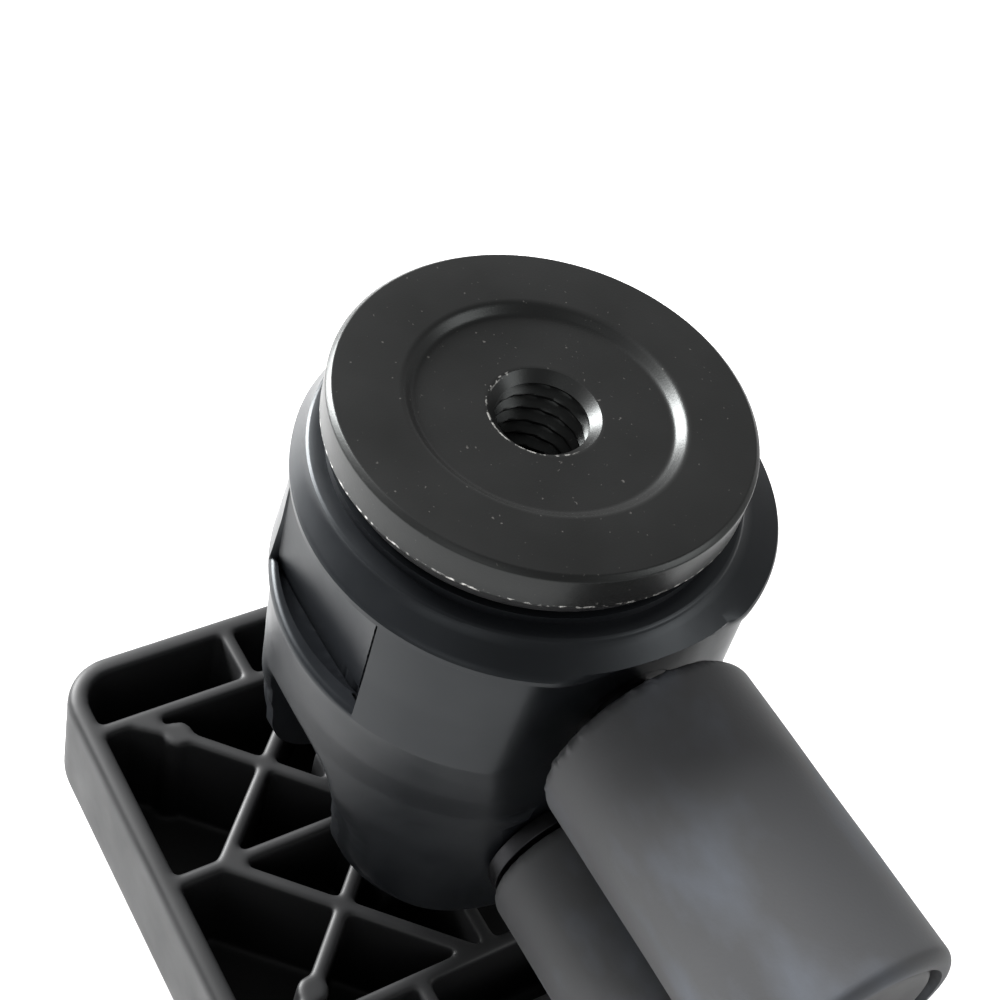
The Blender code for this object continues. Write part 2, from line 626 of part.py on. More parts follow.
def make_camera_screw():
    """Screw, wheel on its hub, and the loose washer that rides down under the wheel."""
    at_screw = Matrix.Translation((0, SCREW_Y, 0))
    shank_top = WHEEL_BOTTOM - GAP
    hub_top = WHEEL_TOP - GAP
    profile = [
        (0, hub_top), (HUB_RADIUS, hub_top), (HUB_RADIUS, shank_top), (SCREW_RADIUS, shank_top),
        (SCREW_RADIUS, SCREW_TIP_Z + SCREW_TIP_CHAMFER),
        (SCREW_RADIUS - SCREW_TIP_CHAMFER, SCREW_TIP_Z), (0, SCREW_TIP_Z),
    ]
    turned("camera_screw", profile, STEEL, SMALL_ROUND, at_screw)
    ring("camera_screw_wheel", HUB_RADIUS + GAP, WHEEL_RADIUS, WHEEL_BOTTOM, WHEEL_TOP, ANODISED,
         32, at_screw)
    washer_bottom = WHEEL_RECESS_FLOOR + GAP + SCREW_TRAVEL
    ring("camera_screw_washer", SCREW_RADIUS + GAP, WASHER_RADIUS, washer_bottom, shank_top, ACETAL,
         SMALL_ROUND, at_screw)


make_base_disc()
make_base_fittings()
make_housing()
make_pan_lock()
make_tilt_lock()
make_tongue()
make_tongue_screws()
make_platform()
make_camera_pad()
make_camera_screw()
for made in bpy.data.objects:
    made.matrix_world = Matrix.Translation((0, 0, LIFT)) @ made.matrix_world
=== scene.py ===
"""Looks for the two-way pan and tilt head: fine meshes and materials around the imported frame."""
import json
import math

import bmesh
import bpy
from mathutils import Matrix, Vector, noise


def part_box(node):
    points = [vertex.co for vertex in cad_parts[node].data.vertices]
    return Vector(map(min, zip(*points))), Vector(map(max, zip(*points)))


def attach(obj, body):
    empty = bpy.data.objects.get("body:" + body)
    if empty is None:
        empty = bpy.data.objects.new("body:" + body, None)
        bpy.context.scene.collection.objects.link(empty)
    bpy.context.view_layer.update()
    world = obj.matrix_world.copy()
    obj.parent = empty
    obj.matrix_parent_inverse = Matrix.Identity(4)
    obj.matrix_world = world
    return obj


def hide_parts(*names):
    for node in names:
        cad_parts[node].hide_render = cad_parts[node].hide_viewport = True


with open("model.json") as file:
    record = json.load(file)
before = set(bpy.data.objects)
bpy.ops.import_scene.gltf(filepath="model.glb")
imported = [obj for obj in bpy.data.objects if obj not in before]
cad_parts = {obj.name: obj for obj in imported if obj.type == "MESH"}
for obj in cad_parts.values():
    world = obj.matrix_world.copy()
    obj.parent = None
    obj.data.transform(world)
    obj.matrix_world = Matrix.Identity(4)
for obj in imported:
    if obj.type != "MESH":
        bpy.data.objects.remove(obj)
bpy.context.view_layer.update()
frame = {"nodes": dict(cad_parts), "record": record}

MM = 0.001
DISC_TOP = 69.0                 # mm, heights below are from a datum with the base disc's face here
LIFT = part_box("base_disc")[1].z / MM - DISC_TOP
TILT_Z = 28.5                   # height of the tilt axis, which runs along x at y 0
LOCK_Y, LOCK_Z = 1.9, 49.3      # the pan lock's axis, which runs along x
SCREW_Y = 15.5                  # the camera screw's axis, which runs along z at x 0


# ------------------------------------------------------------------ node material helpers

class Nodes:
    """A small wrapper to build a Principled material from procedural nodes."""

    def __init__(self, name, color, roughness, metallic=0.0, specular=0.5):
        self.material = bpy.data.materials.new(name)
        self.material.use_nodes = True
        self.tree = self.material.node_tree
        self.shader = self.tree.nodes["Principled BSDF"]
        self.shader.inputs["Base Color"].default_value = (*color, 1.0)
        self.shader.inputs["Roughness"].default_value = roughness
        self.shader.inputs["Metallic"].default_value = metallic
        self.shader.inputs["Specular IOR Level"].default_value = specular
        self.place = self.tree.nodes.new("ShaderNodeTexCoord").outputs["Object"]

    def node(self, kind, **settings):
        made = self.tree.nodes.new(kind)
        for key, value in settings.items():
            setattr(made, key, value)
        return made

    def link(self, source, target):
        self.tree.links.new(source, target)

    def stretched(self, scale):
        mapping = self.node("ShaderNodeMapping")
        mapping.inputs["Scale"].default_value = scale
        self.link(self.place, mapping.inputs["Vector"])
        return mapping.outputs["Vector"]

    def noise(self, scale, detail=3.0, stretch=None):
        made = self.node("ShaderNodeTexNoise")
        made.inputs["Scale"].default_value = scale
        made.inputs["Detail"].default_value = detail
        self.link(self.stretched(stretch) if stretch else self.place, made.inputs["Vector"])
        return made.outputs["Fac"]

    def ramp(self, value, low, high, first=0.0, last=1.0):
        made = self.node("ShaderNodeMapRange")
        made.clamp = True
        ends = (("From Min", low), ("From Max", high), ("To Min", first), ("To Max", last))
        for key, number in ends:
            made.inputs[key].default_value = number
        self.link(value, made.inputs["Value"])
        return made.outputs["Result"]

    def math(self, operation, a, b=None):
        made = self.node("ShaderNodeMath", operation=operation)
        for slot, value in zip(made.inputs, (a, b)):
            if value is None:
                continue
            if isinstance(value, (int, float)):
                slot.default_value = value
            else:
                self.link(value, slot)
        return made.outputs[0]

    def mix_color(self, factor, a, b):
        made = self.node("ShaderNodeMix", data_type='RGBA')
        self.link(factor, made.inputs["Factor"])
        for index, value in ((6, a), (7, b)):
            if isinstance(value, tuple):
                made.inputs[index].default_value = (*value, 1.0)
            else:
                self.link(value, made.inputs[index])
        return made.outputs[2]

    def bump(self, height, strength, distance):
        made = self.node("ShaderNodeBump")
        made.inputs["Strength"].default_value = strength
        made.inputs["Distance"].default_value = distance
        self.link(height, made.inputs["Height"])
        self.link(made.outputs["Normal"], self.shader.inputs["Normal"])

    def axes(self):
        made = self.node("ShaderNodeSeparateXYZ")
        self.link(self.place, made.inputs[0])
        return made.outputs


def band(nodes, value, middle, half):
    """1 within half of middle, fading to 0 at the ends."""
    away = nodes.math('ABSOLUTE', nodes.math('SUBTRACT', value, middle))
    return nodes.ramp(away, half * 0.5, half, 1.0, 0.0)


# ------------------------------------------------------------------ materials

def anodised():
    """Satin black anodised aluminium: fine speckle, bare metal nicks along two edges."""
    n = Nodes("black_anodised_aluminium", (0.011, 0.011, 0.0112), 0.34, 0.0, 0.32)
    n.shader.inputs["Specular Tint"].default_value = (0.95, 1.0, 0.99, 1.0)
    fine = n.noise(5200.0, 2.0)
    broad = n.noise(90.0, 3.0)
    speck = n.ramp(n.noise(2600.0, 1.0), 0.735, 0.80)
    x, y, z = n.axes()
    radius = n.math('SQRT', n.math('ADD', n.math('MULTIPLY', x, x), n.math('MULTIPLY', y, y)))
    worn = n.ramp(n.noise(1500.0, 4.0), 0.50, 0.62)
    patch = n.ramp(n.noise(140.0, 2.0), 0.46, 0.60)
    low_edge = n.math('MULTIPLY', band(n, z, (65.0 + LIFT + 0.52) * MM, 0.17 * MM),
                      n.ramp(radius, 17.7 * MM, 17.8 * MM))
    mouth = n.math('MULTIPLY', band(n, radius, 4.86 * MM, 0.16 * MM), n.ramp(y, 0.5 * MM, -2.0 * MM))
    worn_mouth = n.math('MULTIPLY', mouth, n.math('MULTIPLY', worn, n.ramp(patch, 0.0, 1.0, 0.5, 1.0)))
    mask = n.math('MAXIMUM', n.math('MULTIPLY', low_edge, worn), worn_mouth)
    dark = n.mix_color(n.ramp(broad, 0.3, 0.7), (0.0078, 0.0078, 0.0077), (0.0108, 0.0108, 0.0108))
    dusty = n.mix_color(n.math('MULTIPLY', speck, 0.35), dark, (0.16, 0.155, 0.145))
    n.link(n.mix_color(mask, dusty, (0.70, 0.69, 0.66)), n.shader.inputs["Base Color"])
    n.link(n.math('MULTIPLY', mask, 0.9), n.shader.inputs["Metallic"])
    n.link(n.ramp(broad, 0.2, 0.8, 0.30, 0.38), n.shader.inputs["Roughness"])
    n.bump(fine, 0.22, 0.03 * MM)
    return n.material


def cast():
    """Satin black coated casting: faint orange peel and a cool sheen."""
    n = Nodes("black_coated_casting", (0.006, 0.0066, 0.0078), 0.36, 0.0, 0.27)
    n.shader.inputs["Specular Tint"].default_value = (0.88, 0.95, 1.0, 1.0)
    broad = n.noise(60.0, 2.0)
    peel = n.noise(1900.0, 2.0)
    n.link(n.mix_color(n.ramp(broad, 0.3, 0.7), (0.0052, 0.0058, 0.0068), (0.0070, 0.0078, 0.0094)),
           n.shader.inputs["Base Color"])
    n.link(n.ramp(n.noise(220.0, 3.0), 0.2, 0.8, 0.30, 0.40), n.shader.inputs["Roughness"])
    n.bump(peel, 0.10, 0.03 * MM)
    return n.material


def moulded():
    """Satin black moulded plastic."""
    n = Nodes("black_moulded_plastic", (0.014, 0.0143, 0.0150), 0.50, 0.0, 0.32)
    n.link(n.ramp(n.noise(160.0, 3.0), 0.2, 0.8, 0.44, 0.56), n.shader.inputs["Roughness"])
    base = n.mix_color(n.ramp(n.noise(45.0, 2.0), 0.3, 0.7), (0.0120, 0.0123, 0.0130),
                       (0.0165, 0.0169, 0.0177))
    n.link(base, n.shader.inputs["Base Color"])
    n.bump(n.noise(1400.0, 2.0), 0.08, 0.03 * MM)
    return n.material


def rubber():
    """Matte rubber with soft, pale bluish patches around the sleeve: partly scuffs, partly a painted sheen in
    the base colour.
    """
    n = Nodes("black_rubber", (0.034, 0.035, 0.037), 0.66, 0.0, 0.35)
    scuff_and_sheen = n.ramp(n.noise(95.0, 4.0, (0.9, 1.0, 2.2)), 0.48, 0.72)
    grain = n.noise(3000.0, 2.0)
    base = n.mix_color(n.ramp(n.noise(40.0, 2.0), 0.3, 0.7), (0.043, 0.044, 0.046),
                       (0.055, 0.056, 0.059))
    # painted sheen: the pale bluish patches in the base colour stand in for the sleeve's sheen as well as for
    # scuffs
    n.link(n.mix_color(n.math('MULTIPLY', scuff_and_sheen, 0.60), base, (0.092, 0.103, 0.124)),
           n.shader.inputs["Base Color"])
    n.link(n.ramp(scuff_and_sheen, 0.0, 1.0, 0.60, 0.74), n.shader.inputs["Roughness"])
    n.bump(grain, 0.25, 0.04 * MM)
    return n.material


def plain(name, color, roughness, metallic, grain_scale, stretch=None):
    """Turned metal or slippery plastic with its own fine grain."""
    n = Nodes(name, color, roughness, metallic)
    grain = n.noise(grain_scale, 3.0, stretch)
    n.link(n.ramp(grain, 0.2, 0.8, roughness * 0.8, min(1.0, roughness * 1.25)),
           n.shader.inputs["Roughness"])
    n.bump(grain, 0.12, 0.02 * MM)
    return n.material


ANODISED = anodised()
CAST = cast()
MOULDED = moulded()
RUBBER = rubber()
ACETAL = plain("black_acetal", (0.012, 0.012, 0.013), 0.45, 0.0, 900.0)
STEEL = plain("zinc_plated_steel", (0.56, 0.57, 0.60), 0.30, 1.0, 1200.0, (1.0, 1.0, 6.0))
OXIDE = plain("black_oxide_steel", (0.030, 0.030, 0.032), 0.40, 1.0, 1400.0, (1.0, 1.0, 5.0))
BRASS = plain("brass", (0.62, 0.45, 0.19), 0.30, 1.0, 1200.0, (6.0, 1.0, 1.0))
BY_SLOT = {
    "base_anodised": ANODISED, "wheel_anodised": ANODISED, "housing_cast": CAST,
    "moulded_black": MOULDED, "rubber_black": RUBBER, "acetal_black": ACETAL,
    "steel_zinc": STEEL, "steel_blackened": OXIDE, "brass_turned": BRASS,
}
SLOT_OF = {part["node"]: part["material_slot"] for part in frame["record"]["subparts"]}
BODIES = frame["record"]["behaviour"]["bodies"]
BODY_OF = {node: body for body, nodes in BODIES.items() for node in nodes}


# ------------------------------------------------------------------ mesh helpers

def mesh_piece(name, verts, faces):
    """A mesh object from points in mm, in the lifted datum."""
    mesh = bpy.data.meshes.new(name)
    mesh.from_pydata([(x * MM, y * MM, (z + LIFT) * MM) for x, y, z in verts], [], faces)
    made = bpy.data.objects.new(name, mesh)
    bpy.context.scene.collection.objects.link(made)
    shape = bmesh.new()
    shape.from_mesh(mesh)
    bmesh.ops.remove_doubles(shape, verts=shape.verts, dist=0.0000005)
    bmesh.ops.recalc_face_normals(shape, faces=shape.faces)
    shape.to_mesh(mesh)
    shape.free()
    return made


def shade(made, angle=32):
    made.data.shade_smooth()
    made.data.set_sharp_from_angle(angle=math.radians(angle))


def stand_for(made, *nodes):
    """The piece takes the place, body, slot and material of the CAD nodes."""
    made.data.materials.clear()
    made.data.materials.append(BY_SLOT[SLOT_OF[nodes[0]]])
    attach(made, BODY_OF[nodes[0]])
    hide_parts(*nodes)
    return made


def rounded(profile, radius, steps=4):
    """Rounds the corners of a (r, z) profile. radius is one number, or one for each point."""
    out = []
    for i, point in enumerate(profile):
        reach = radius[i] if isinstance(radius, (list, tuple)) else radius
        here = Vector(point)
        if i in (0, len(profile) - 1) or reach <= 0:
            out.append(tuple(here))
            continue
        back = Vector(profile[i - 1]) - here
        on = Vector(profile[i + 1]) - here
        reach = min(reach, back.length * 0.45, on.length * 0.45)
        a, c = here + back.normalized() * reach, here + on.normalized() * reach
        for k in range(steps + 1):
            t = k / steps
            out.append(tuple(a * (1 - t) ** 2 + here * (2 * t * (1 - t)) + c * t ** 2))
    return out


def z_up(r, angle, z):
    return (r * math.cos(angle), r * math.sin(angle), z)


def along_x(y, height):
    def place(r, angle, x):
        return (x, y + r * math.cos(angle), height + r * math.sin(angle))
    return place


def lathe(name, profile, segments=128, place=z_up, shift=None):
    """Turns a (radius, along) profile. A point on the axis closes the end."""
    verts, faces, rows = [], [], []
    for index, (r, along) in enumerate(profile):
        if abs(r) < 1e-6:
            rows.append([len(verts)] * segments)
            verts.append(place(0.0, 0.0, along))
            continue
        row = []
        for i in range(segments):
            angle = 2 * math.pi * i / segments
            dr, dz = shift(r, angle, along, index) if shift else (0.0, 0.0)
            row.append(len(verts))
            verts.append(place(r + dr, angle, along + dz))
        rows.append(row)
    if abs(profile[0][0]) > 1e-6:
        rows.append(rows[0])
    for upper, lower in zip(rows, rows[1:]):
        for i in range(segments):
            j = (i + 1) % segments
            loop = []
            for vertex in (upper[i], lower[i], lower[j], upper[j]):
                if vertex not in loop:
                    loop.append(vertex)
            if len(loop) > 2:
                faces.append(loop)
    return mesh_piece(name, verts, faces)


def cutter_box(low, high):
    x0, y0, z0 = low
    x1, y1, z1 = high
    verts = [(x, y, z) for x in (x0, x1) for y in (y0, y1) for z in (z0, z1)]
    faces = [(0, 1, 3, 2), (4, 6, 7, 5), (0, 4, 5, 1), (2, 3, 7, 6), (0, 2, 6, 4), (1, 5, 7, 3)]
    return mesh_piece("cutter", verts, faces)


def prism(points, low, high, place):
    """A closed prism over an outline, from low to high."""
    count = len(points)
    verts = [place(u, v, low) for u, v in points] + [place(u, v, high) for u, v in points]
    faces = [tuple(range(count)), tuple(range(2 * count - 1, count - 1, -1))]
    faces += [(i, (i + 1) % count, (i + 1) % count + count, i + count) for i in range(count)]
    return mesh_piece("cutter", verts, faces)


def apply_all(made):
    graph = bpy.context.evaluated_depsgraph_get()
    mesh = bpy.data.meshes.new_from_object(made.evaluated_get(graph))
    made.modifiers.clear()
    made.data = mesh


def combine(made, *steps):
    """Applies (operation, cutter) Booleans in order and removes the cutters."""
    for operation, tool in steps:
        step = made.modifiers.new("step", 'BOOLEAN')
        step.operation = operation
        step.object = tool
        step.solver = 'MANIFOLD'
    apply_all(made)
    for _, tool in steps:
        bpy.data.objects.remove(tool)


def arc(cx, cy, radius, start, end, steps):
    return [(cx + radius * math.cos(math.radians(start + (end - start) * i / steps)),
             cy + radius * math.sin(math.radians(start + (end - start) * i / steps)))
            for i in range(steps + 1)]


def clamp(value, low=0.0, high=1.0):
    return max(low, min(high, value))


def smoothstep(value, low, high):
    t = clamp((value - low) / (high - low))
    return t * t * (3 - 2 * t)


def soft_min(a, b, k):
    h = clamp(0.5 + 0.5 * (b - a) / k)
    return b * (1 - h) + a * h - k * h * (1 - h)


def soft_max(a, b, k):
    return -soft_min(-a, -b, k)


# ------------------------------------------------------------------ base disc with its thread

PITCH = 1.5875                  # mm, 16 turns to the inch


def thread_shift(r, angle, z, index):
    """Right-hand 60 degree thread cut into the socket wall, fading in under the chamfer."""
    if r > 4.3 or z > 67.25 or z < 58.3:
        return (0.0, 0.0)
    turn = ((z / PITCH) - angle / (2 * math.pi)) % 1.0
    tooth = clamp((1.0 - abs(2.0 * turn - 1.0)) * 1.35 - 0.12)
    return (0.76 * tooth * smoothstep(z, 67.25, 66.6), 0.0)


def base_disc():
    socket = [(4.0, 67.2 - 0.11 * i) for i in range(82)]
    floor = 68.1
    upper = [(0.0, 58.1), (4.0, 58.1), *reversed(socket)]
    face = rounded([(4.0, 67.2), (4.86, floor - 0.03), (5.1, floor), (11.0, floor), (11.9, 69.0),
                    (17.75, 69.0), (18.2, 68.6), (18.2, 65.4), (17.8, 65.0), (9.7, 65.0), (9.7, 63.3),
                    (8.0, 63.3), (8.0, 44.2), (0.0, 44.2)],
                   [0, 0.05, 0.1, 0.35, 0.4, 0.12, 0.12, 0.12, 0.12, 0.1, 0.1, 0.1, 0.3, 0])
    return lathe("base_disc_fine", upper + face[1:], 256, z_up, thread_shift)


shade_disc = base_disc()
shade(shade_disc, 28)
stand_for(shade_disc, "base_disc")

ring = lathe("friction_ring_fine",
             rounded([(10.0, 64.7), (17.0, 64.7), (17.0, 63.3), (10.0, 63.3)], 0.15), 128)
shade(ring)
stand_for(ring, "pan_friction_ring")


# ------------------------------------------------------------------ fork housing

LEVELS = [      # z, radius, flat x, bulge
    (63.0, 17.2, 30.0, 0.0), (62.15, 17.2, 30.0, 0.0), (62.1, 18.45, 30.0, 0.0),
    (61.95, 18.72, 30.0, 0.0), (61.7, 18.85, 30.0, 0.05), (60.2, 19.75, 20.2, 1.0),
    (59.95, 19.9, 20.2, 1.0), (59.45, 19.9, 20.2, 1.0), (59.25, 19.75, 20.05, 1.0),
    (59.15, 19.35, 18.75, 1.0), (52.0, 19.6, 18.7, 0.95), (46.3, 20.1, 18.7, 0.8),
    (40.0, 19.75, 18.7, 0.5), (36.0, 19.55, 18.7, 0.2), (30.3, 19.2, 30.0, 0.0),
    (20.8, 18.35, 30.0, 0.0), (13.9, 17.7, 30.0, 0.0),
]
SLOT_HALF, ARCH = 6.8, 30.5     # inside the fork
SLOT_FOOT = 19.0                # the wider inside ends here, below the friction discs
MOUTH_HALF, MOUTH_ARCH = 6.3, 29.6
EDGE = 1.3                      # fillet of the slot's outer edges
EAR_Y, EAR_Z, EAR_R = 7.3, 23.5, 8.7
EAR_LINE = (                    # z and half width of the ears' outline, above their round ends
    (23.5, 16.0), (25.0, 16.2), (26.5, 16.65), (28.0, 17.35), (30.0, 18.7), (34.0, 22.2), (42.0, 30.0),
)
POCKET_X, POCKET_Y = 8.2, 17.6
SEAM_X, SEAM_DEEP = 7.5, 0.55    # right edge and depth of the dark seam beside the pocket's face
POCKET_FOOT = 46.35             # foot of the pocket's face, at the bottom of the groove
COLLAR_TOP, COLLAR_ROUND = 47.0, 0.6
STEP_ROW, STEP_LOW = 44.4, 41.0  # mesh rows that follow the collar's step, and where they level out


def level(z):
    """Radius, flat and bulge at a height."""
    for (za, *a), (zb, *b) in zip(LEVELS, LEVELS[1:]):
        if za >= z >= zb:
            t = (za - z) / (za - zb)
            return [p + (q - p) * t for p, q in zip(a, b)]
    return LEVELS[-1][1:]


def hull(angle, z):
    radius, flat, bulge = level(z)
    x, y = math.cos(angle), math.sin(angle)
    reach = 0.0
    for cx, cy in ((0.0, 0.0), (1.5 * bulge, 2.3 * bulge), (1.4 * bulge, -0.7 * bulge)):
        across = cx * y - cy * x
        part = cx * x + cy * y + math.sqrt(radius ** 2 - across ** 2)
        reach = soft_max(reach, part, 0.4) if reach else part
    if x > 0.2:
        reach = soft_min(reach, flat / x, 0.7)
    return reach


def collar_line(degrees):
    """Height of the collar's lower step: level at the front, lower towards the knob side."""
    return 42.6 + 3.6 * smoothstep(abs(degrees), 12.0, 80.0)


def fillet_drop(distance, radius):
    if distance >= radius:
        return 0.0
    t = radius - max(distance, 0.0)
    return radius - math.sqrt(max(radius ** 2 - t ** 2, 0.0))


def ear_edge(y, z):
    """Distance in from the ears' outline, seen along the tilt axis."""
    if z < EAR_Z:
        return EAR_R - math.hypot(max(abs(y) - EAR_Y, 0.0), z - EAR_Z)
    for (za, ya), (zb, yb) in zip(EAR_LINE, EAR_LINE[1:]):
        if z <= zb:
            break
    limit = ya + (yb - ya) * (z - za) / (zb - za)
    return (limit - abs(y)) * (1.0 - 0.25 * smoothstep(z, 24.0, 30.0))


def skin(angle, z, in_pocket):
    """Distance of the housing's surface from the pan axis."""
    degrees = math.degrees(math.atan2(math.sin(angle), math.cos(angle)))
    r = hull(angle, z)
    line = collar_line(degrees)
    if z < 59.0:
        r -= 0.38 * smoothstep(z, line + 0.02, line - 0.10)
        r -= 0.26 * (smoothstep(z, line - 0.02, line - 0.12) - smoothstep(z, line - 0.26, line - 0.40))
    if in_pocket and z < 59.2:
        if z > COLLAR_TOP:
            r = min(r, POCKET_Y / -math.sin(angle))
        elif z > COLLAR_TOP - COLLAR_ROUND:
            r -= fillet_drop(COLLAR_TOP - z, COLLAR_ROUND)
    x, y = r * math.cos(angle), r * math.sin(angle)
    if abs(y) > 6 and z < 44:
        over = math.hypot(x, z - MOUTH_ARCH) if z > MOUTH_ARCH else abs(x)
        over -= MOUTH_HALF
        r -= fillet_drop(over, EDGE) * 0.97
    if z < 40:
        r -= 0.95 * clamp(1 - ear_edge(y, z) / 1.6) ** 2 * abs(math.cos(angle)) ** 0.5
    return r


def housing_rows():
    """Heights of the housing's mesh rows, close together where the surface turns."""
    rows = [63.0, 62.6, 62.2, 62.15, 62.1, 62.05, 62.0, 61.95, 61.85, 61.7, 61.3, 60.8, 60.4, 60.2,
            60.1, 59.95, 59.7, 59.45, 59.35, 59.25, 59.2, 59.15, 59.0, 58.7]
    z = 58.3
    while z > 48.0:
        rows.append(z)
        z -= 0.6
    rows += [47.06, 47.02]
    rows += [47.0 - 0.1 * i for i in range(20)]
    near = (0.6, 0.4, 0.2, 0.1, 0.02, -0.04, -0.1, -0.16, -0.22, -0.28, -0.34, -0.4, -0.6)
    rows += [STEP_ROW + offset for offset in near]
    rows += [STEP_ROW - 0.6 - 0.2 * i for i in range(1, 14)]
    z = STEP_LOW
    while z > 13.9:
        rows.append(z)
        z -= 0.3
    return rows + [13.9]


def follow_step(z, degrees):
    """Slides the rows near the collar so that they run along its lower step."""
    line = collar_line(degrees)
    if abs(z - STEP_ROW) <= 0.6:
        return line + z - STEP_ROW
    if STEP_ROW < z < COLLAR_TOP:
        t = (z - STEP_ROW - 0.6) / (COLLAR_TOP - STEP_ROW - 0.6)
        return (line + 0.6) * (1 - t) + COLLAR_TOP * t
    if STEP_LOW < z < STEP_ROW:
        t = (z - STEP_LOW) / (STEP_ROW - 0.6 - STEP_LOW)
        return STEP_LOW * (1 - t) + (line - 0.6) * t
    return z


def groove_cutter():
    """The crescent between the pocket's face and the collar: its floor rises from the face outwards."""
    across = 150
    steps = (0.0, 0.11, 0.15, 0.26, 0.4, 0.55, 0.7, 0.85, 1.0)
    out = len(steps) - 1
    low, high = [], []
    for i in range(across + 1):
        x = -POCKET_X + 2 * POCKET_X * i / across
        torn = noise.noise(Vector((x * 0.8, 4.0, 0))) + 0.5 * noise.noise(Vector((x * 2.1, 9.0, 0)))
        face = POCKET_Y - 0.04 - 0.20 * max(0.0, torn) * smoothstep(x, 3.0, 6.5)
        rim = math.sqrt((20.02 - COLLAR_ROUND) ** 2 - x * x)
        for k in range(out + 1):
            t = steps[k]
            y = -(face + (max(rim, face + 0.25) - face) * t)
            lump = 0.05 * noise.noise(Vector((x * 1.2, t * 2.5, 1.0))) * (1 - t)
            lump -= 0.5 if k < 2 else 0.0
            low.append((x, y, POCKET_FOOT + lump + (COLLAR_TOP - 0.02 - POCKET_FOOT) * t ** 1.6))
            high.append((x, y, COLLAR_TOP + 0.6))
    wide, count = out + 1, len(low)
    faces = []
    for i in range(across):
        for k in range(out):
            quad = [i * wide + k, (i + 1) * wide + k, (i + 1) * wide + k + 1, i * wide + k + 1]
            faces += [quad, [v + count for v in reversed(quad)]]
        for k in (0, out):
            a, b = i * wide + k, (i + 1) * wide + k
            faces.append([a, b, b + count, a + count] if k else [b, a, a + count, b + count])
    for i in (0, across):
        for k in range(out):
            a, b = i * wide + k, i * wide + k + 1
            faces.append([a, b, b + count, a + count] if i else [b, a, a + count, b + count])
    return mesh_piece("cutter", low + high, faces)


def parting_cutter(side):
    """A narrow seam down one side of the pocket's face, a little ragged, running in under the lip."""
    heights = [POCKET_FOOT + 0.1 + (58.3 - POCKET_FOOT) * i / 70 for i in range(71)]
    outer = [(side * (POCKET_X + 0.02), z) for z in heights]
    inner = []
    for z in reversed(heights):
        ragged = 0.06 * noise.noise(Vector((0, 7, z * 2)))
        inner.append((side * (SEAM_X - 0.34 + 0.12 * smoothstep(z, 47, 58) + ragged), z))
    return prism(outer + inner, -POCKET_Y - 0.6, -POCKET_Y + SEAM_DEEP, lambda u, v, w: (u, w, v))


def housing():
    start, end = math.radians(-90), math.radians(270)
    verts, faces, columns = [], [], None
    for z in housing_rows():
        half = math.atan(POCKET_X / POCKET_Y)
        inside = [(start - half + 2 * half * i / 44, True) for i in range(45)]
        rest = 2 * math.pi - 2 * half
        outside = [(start + half + 0.0035 + (rest - 0.007) * i / 300, False) for i in range(301)]
        row = inside + outside
        columns = len(row)
        for angle, in_pocket in row:
            here = follow_step(z, math.degrees(math.atan2(math.sin(angle), math.cos(angle))))
            verts.append(z_up(skin(angle, here, in_pocket), angle, here))
    count = len(verts) // columns
    for k in range(count - 1):
        for i in range(columns):
            j = (i + 1) % columns
            faces.append((k * columns + i, (k + 1) * columns + i, (k + 1) * columns + j, k * columns + j))
    faces.append(tuple(range(columns)))
    faces.append(tuple(reversed(range((count - 1) * columns, count * columns))))
    made = mesh_piece("fork_housing_fine", verts, faces)
    slot = [(SLOT_HALF, SLOT_FOOT), *arc(0, ARCH, SLOT_HALF, 0, 180, 64), (-SLOT_HALF, SLOT_FOOT)]
    mouth = [(MOUTH_HALF, 0.0), *arc(0, MOUTH_ARCH, MOUTH_HALF, 0, 180, 96), (-MOUTH_HALF, 0.0)]
    ears = [(30, 75), (-30, 75), *[(-y, z) for z, y in reversed(EAR_LINE[1:])],
            *arc(-EAR_Y, EAR_Z, EAR_R, 180, 270, 24), *arc(EAR_Y, EAR_Z, EAR_R, 270, 360, 24),
            *[(y, z) for z, y in EAR_LINE[1:]]]
    bore = [(0, 70), (8.3, 70), (8.3, 43.9), (2.8, 43.9), (2.8, 41.4), (5.2, 41.4), (5.2, 32), (0, 32)]
    tilt = [(0, 40), (8.4, 40), (8.4, 18.2), (3.3, 18.2), (3.3, 6.9), (5.9, 6.9), (5.9, -6.9), (3.3, -6.9),
            (3.3, -14.7), (5.6, -14.7), (5.6, -40), (0, -40)]
    combine(
        made,
        ('INTERSECT', prism(ears, -40, 40, lambda u, v, w: (w, u, v))),
        ('DIFFERENCE', prism(slot, -11.5, 11.5, lambda u, v, w: (u, w, v))),
        ('DIFFERENCE', prism(mouth, -40, 40, lambda u, v, w: (u, w, v))),
        ('DIFFERENCE', groove_cutter()),
        ('DIFFERENCE', parting_cutter(1)),
        ('DIFFERENCE', lathe("cutter", bore, 96)),
        ('DIFFERENCE', lathe("cutter", tilt, 96, along_x(0, TILT_Z))),
        ('DIFFERENCE', lathe("cutter", [(0, 30), (5.1, 30), (5.1, 6), (0, 6)], 96, along_x(LOCK_Y, LOCK_Z))),
    )
    return made


body = housing()
shade(body, 30)
stand_for(body, "fork_housing")


# ------------------------------------------------------------------ camera platform

HALF_X, HALF_Y, CORNER, ROUND = 27.8, 29.8, 5.7, 5.6
RIM, WEB, FOOT = 10.0, -4.2, -7.8
RIB = 1.55


def rounded_outline(half_x, half_y, corner, steps=10):
    points = []
    for sx, sy, start in ((1, 1, 0), (-1, 1, 90), (-1, -1, 180), (1, -1, 270)):
        points += arc(sx * (half_x - corner), sy * (half_y - corner), corner, start, start + 90, steps)
    return points


def flat(u, v, w):
    return (u, v, w)


def slanted(start, end, width):
    a, b = Vector(start), Vector(end)
    side = Vector((-(b - a).y, (b - a).x)).normalized() * (width / 2)
    return prism([tuple(p) for p in (a - side, b - side, b + side, a + side)], WEB - 1, RIM, flat)


